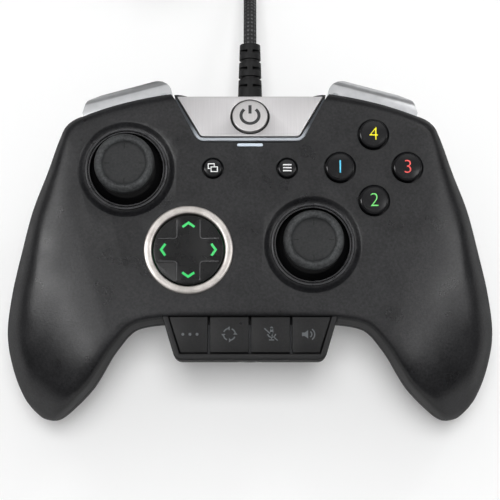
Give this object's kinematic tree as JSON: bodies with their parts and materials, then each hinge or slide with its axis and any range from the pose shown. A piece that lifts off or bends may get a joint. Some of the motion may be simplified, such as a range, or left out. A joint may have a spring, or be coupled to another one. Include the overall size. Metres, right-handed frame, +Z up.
{
  "type": "gamepad controller",
  "caption": "Two-handed wired gamepad with thumb sticks, a direction pad, face buttons, bumpers, triggers and a key panel, on a braided cable put away in a coil.",
  "frame": {"origin": "on the surface under the middle of the pad, cable left out", "axes": "+X to the user's right, +Y away from the user along the cable, +Z up out of the face"},
  "size_m": [0.1719, 0.2304, 0.058],
  "materials": {
    "face_plastic": "fine grained soft black",
    "grip_plastic": "fine grained black",
    "brushed_plate": "brushed, satin",
    "light_diffuser": "milky light diffuser",
    "satin_ring": "satin silver",
    "gloss_black_plastic": "glossy black",
    "panel_plastic": "matt black",
    "circuit_board": "green lacquered board",
    "silicone": "translucent grey silicone",
    "inner_plastic": "plain moulded",
    "steel": "bright zinc plated",
    "boot_rubber": "matt moulded",
    "cable_braid": "woven black sleeve with grey flecks",
    "strap": "woven hook and loop",
    "plug_plastic": "matt moulded",
    "stick_rubber": "matt, worn paler at the rim",
    "home_metal": "bright satin",
    "satin_bumper": "satin silver paint",
    "trigger_plastic": "matt black"
  },
  "bodies": {
    "housing": {"front_shell": "face_plastic", "rear_shell": "grip_plastic", "shell_screws": "steel", "centre_plate": "brushed_plate", "plate_light_strip": "light_diffuser", "status_light_bar": "light_diffuser", "dpad_ring": "satin_ring", "stick_rings": "gloss_black_plastic", "panel_tray": "panel_plastic", "panel_bezel": "panel_plastic", "panel_board": "circuit_board", "panel_membrane": "silicone", "headset_socket": "inner_plastic", "button_board": "circuit_board", "main_board": "circuit_board", "board_spacers": "inner_plastic", "face_button_membrane": "silicone", "centre_button_membrane": "silicone", "dpad_membrane": "silicone", "dpad_post": "inner_plastic", "stick_bases": "inner_plastic", "trigger_frames": "inner_plastic", "hinge_pins": "steel", "trigger_springs": "steel", "bumper_switches": "inner_plastic", "rumble_motors": "steel", "cable_boot": "boot_rubber", "cable_lead": "cable_braid", "cable_coil": "cable_braid", "cable_tail": "cable_braid", "cable_tie": "strap", "usb_plug_body": "plug_plastic", "usb_plug_shell": "steel"},
    "left_stick_yoke": {"left_stick_yoke": "steel"},
    "left_stick_pivot": {"left_stick_pivot": "inner_plastic"},
    "left_stick": {"left_stick_lever": "steel", "left_stick_cap": "stick_rubber"},
    "right_stick_yoke": {"right_stick_yoke": "steel"},
    "right_stick_pivot": {"right_stick_pivot": "inner_plastic"},
    "right_stick": {"right_stick_lever": "steel", "right_stick_cap": "stick_rubber"},
    "dpad_cradle": {"dpad_cradle": "steel"},
    "dpad": {"dpad": "gloss_black_plastic"},
    "face_button_top": {"face_button_top": "gloss_black_plastic"},
    "face_button_left": {"face_button_left": "gloss_black_plastic"},
    "face_button_right": {"face_button_right": "gloss_black_plastic"},
    "face_button_bottom": {"face_button_bottom": "gloss_black_plastic"},
    "view_button": {"view_button": "gloss_black_plastic"},
    "menu_button": {"menu_button": "gloss_black_plastic"},
    "home_button": {"home_button": "home_metal"},
    "profile_key": {"profile_key": "panel_plastic"},
    "remap_key": {"remap_key": "panel_plastic"},
    "mute_key": {"mute_key": "panel_plastic"},
    "volume_key": {"volume_key": "panel_plastic"},
    "left_bumper": {"left_bumper": "satin_bumper"},
    "left_trigger": {"left_trigger": "trigger_plastic"},
    "right_bumper": {"right_bumper": "satin_bumper"},
    "right_trigger": {"right_trigger": "trigger_plastic"},
    "left_rumble_weight": {"left_rumble_weight": "steel"},
    "right_rumble_weight": {"right_rumble_weight": "steel"}
  },
  "joints": [
    {"name": "left_stick_forward", "type": "hinge", "parent": "housing", "child": "left_stick_yoke", "pos_m": [-0.0389, 0.0238, 0.0395], "axis": [1, 0, 0], "range_deg": [-16, 16], "stiffness_Nm_per_rad": 0.015},
    {"name": "left_stick_sideways", "type": "hinge", "parent": "left_stick_yoke", "child": "left_stick_pivot", "pos_m": [-0.0389, 0.0238, 0.0395], "axis": [0, 1, 0], "range_deg": [-16, 16], "stiffness_Nm_per_rad": 0.015},
    {"name": "left_stick_click", "type": "slide", "parent": "left_stick_pivot", "child": "left_stick", "axis": [0, 0, -1], "range_m": [0, 0.0005], "stiffness_N_per_m": 600},
    {"name": "right_stick_forward", "type": "hinge", "parent": "housing", "child": "right_stick_yoke", "pos_m": [0.0196, -0.0002, 0.0395], "axis": [1, 0, 0], "range_deg": [-16, 16], "stiffness_Nm_per_rad": 0.015},
    {"name": "right_stick_sideways", "type": "hinge", "parent": "right_stick_yoke", "child": "right_stick_pivot", "pos_m": [0.0196, -0.0002, 0.0395], "axis": [0, 1, 0], "range_deg": [-16, 16], "stiffness_Nm_per_rad": 0.015},
    {"name": "right_stick_click", "type": "slide", "parent": "right_stick_pivot", "child": "right_stick", "axis": [0, 0, -1], "range_m": [0, 0.0005], "stiffness_N_per_m": 600},
    {"name": "dpad_up_down", "type": "hinge", "parent": "housing", "child": "dpad_cradle", "pos_m": [-0.0192, -0.002, 0.0455], "axis": [1, 0, 0], "range_deg": [-5, 5], "stiffness_Nm_per_rad": 0.03, "deforming": ["dpad_membrane"]},
    {"name": "dpad_left_right", "type": "hinge", "parent": "dpad_cradle", "child": "dpad", "pos_m": [-0.0192, -0.002, 0.0455], "axis": [0, 1, 0], "range_deg": [-5, 5], "stiffness_Nm_per_rad": 0.03, "deforming": ["dpad_membrane"]},
    {"name": "face_button_top_press", "type": "slide", "parent": "housing", "child": "face_button_top", "axis": [0, 0, -1], "range_m": [0, 0.0015], "stiffness_N_per_m": 300, "deforming": ["face_button_membrane"]},
    {"name": "face_button_left_press", "type": "slide", "parent": "housing", "child": "face_button_left", "axis": [0, 0, -1], "range_m": [0, 0.0015], "stiffness_N_per_m": 300, "deforming": ["face_button_membrane"]},
    {"name": "face_button_right_press", "type": "slide", "parent": "housing", "child": "face_button_right", "axis": [0, 0, -1], "range_m": [0, 0.0015], "stiffness_N_per_m": 300, "deforming": ["face_button_membrane"]},
    {"name": "face_button_bottom_press", "type": "slide", "parent": "housing", "child": "face_button_bottom", "axis": [0, 0, -1], "range_m": [0, 0.0015], "stiffness_N_per_m": 300, "deforming": ["face_button_membrane"]},
    {"name": "view_button_press", "type": "slide", "parent": "housing", "child": "view_button", "axis": [0, 0, -1], "range_m": [0, 0.0008], "stiffness_N_per_m": 300, "deforming": ["centre_button_membrane"]},
    {"name": "menu_button_press", "type": "slide", "parent": "housing", "child": "menu_button", "axis": [0, 0, -1], "range_m": [0, 0.0008], "stiffness_N_per_m": 300, "deforming": ["centre_button_membrane"]},
    {"name": "home_button_press", "type": "slide", "parent": "housing", "child": "home_button", "axis": [0, -0.2588, -0.9659], "range_m": [0, 0.0006], "stiffness_N_per_m": 300, "deforming": ["centre_button_membrane"]},
    {"name": "profile_key_press", "type": "slide", "parent": "housing", "child": "profile_key", "axis": [0, 0, -1], "range_m": [0, 0.0006], "stiffness_N_per_m": 300, "deforming": ["panel_membrane"]},
    {"name": "remap_key_press", "type": "slide", "parent": "housing", "child": "remap_key", "axis": [0, 0, -1], "range_m": [0, 0.0006], "stiffness_N_per_m": 300, "deforming": ["panel_membrane"]},
    {"name": "mute_key_press", "type": "slide", "parent": "housing", "child": "mute_key", "axis": [0, 0, -1], "range_m": [0, 0.0006], "stiffness_N_per_m": 300, "deforming": ["panel_membrane"]},
    {"name": "volume_key_press", "type": "slide", "parent": "housing", "child": "volume_key", "axis": [0, 0, -1], "range_m": [0, 0.0006], "stiffness_N_per_m": 300, "deforming": ["panel_membrane"]},
    {"name": "left_bumper_press", "type": "hinge", "parent": "housing", "child": "left_bumper", "pos_m": [-0.0271, 0.04752, 0.04], "axis": [0, 0, 1], "range_deg": [0, 3], "stiffness_Nm_per_rad": 0.6},
    {"name": "left_trigger_pull", "type": "hinge", "parent": "housing", "child": "left_trigger", "pos_m": [-0.03842, 0.04342, 0.0275], "axis": [-0.9652, -0.2614, 0], "range_deg": [0, 18], "stiffness_Nm_per_rad": 0.12},
    {"name": "right_bumper_press", "type": "hinge", "parent": "housing", "child": "right_bumper", "pos_m": [0.0271, 0.04752, 0.04], "axis": [0, 0, -1], "range_deg": [0, 3], "stiffness_Nm_per_rad": 0.6},
    {"name": "right_trigger_pull", "type": "hinge", "parent": "housing", "child": "right_trigger", "pos_m": [0.03842, 0.04342, 0.0275], "axis": [-0.9652, 0.2614, 0], "range_deg": [0, 18], "stiffness_Nm_per_rad": 0.12},
    {"name": "left_rumble_spin", "type": "hinge", "parent": "housing", "child": "left_rumble_weight", "pos_m": [-0.06156, -0.00553, 0.018], "axis": [0, 1, 0], "continuous": true},
    {"name": "right_rumble_spin", "type": "hinge", "parent": "housing", "child": "right_rumble_weight", "pos_m": [0.06156, -0.00553, 0.018], "axis": [0, 1, 0], "continuous": true}
  ]
}
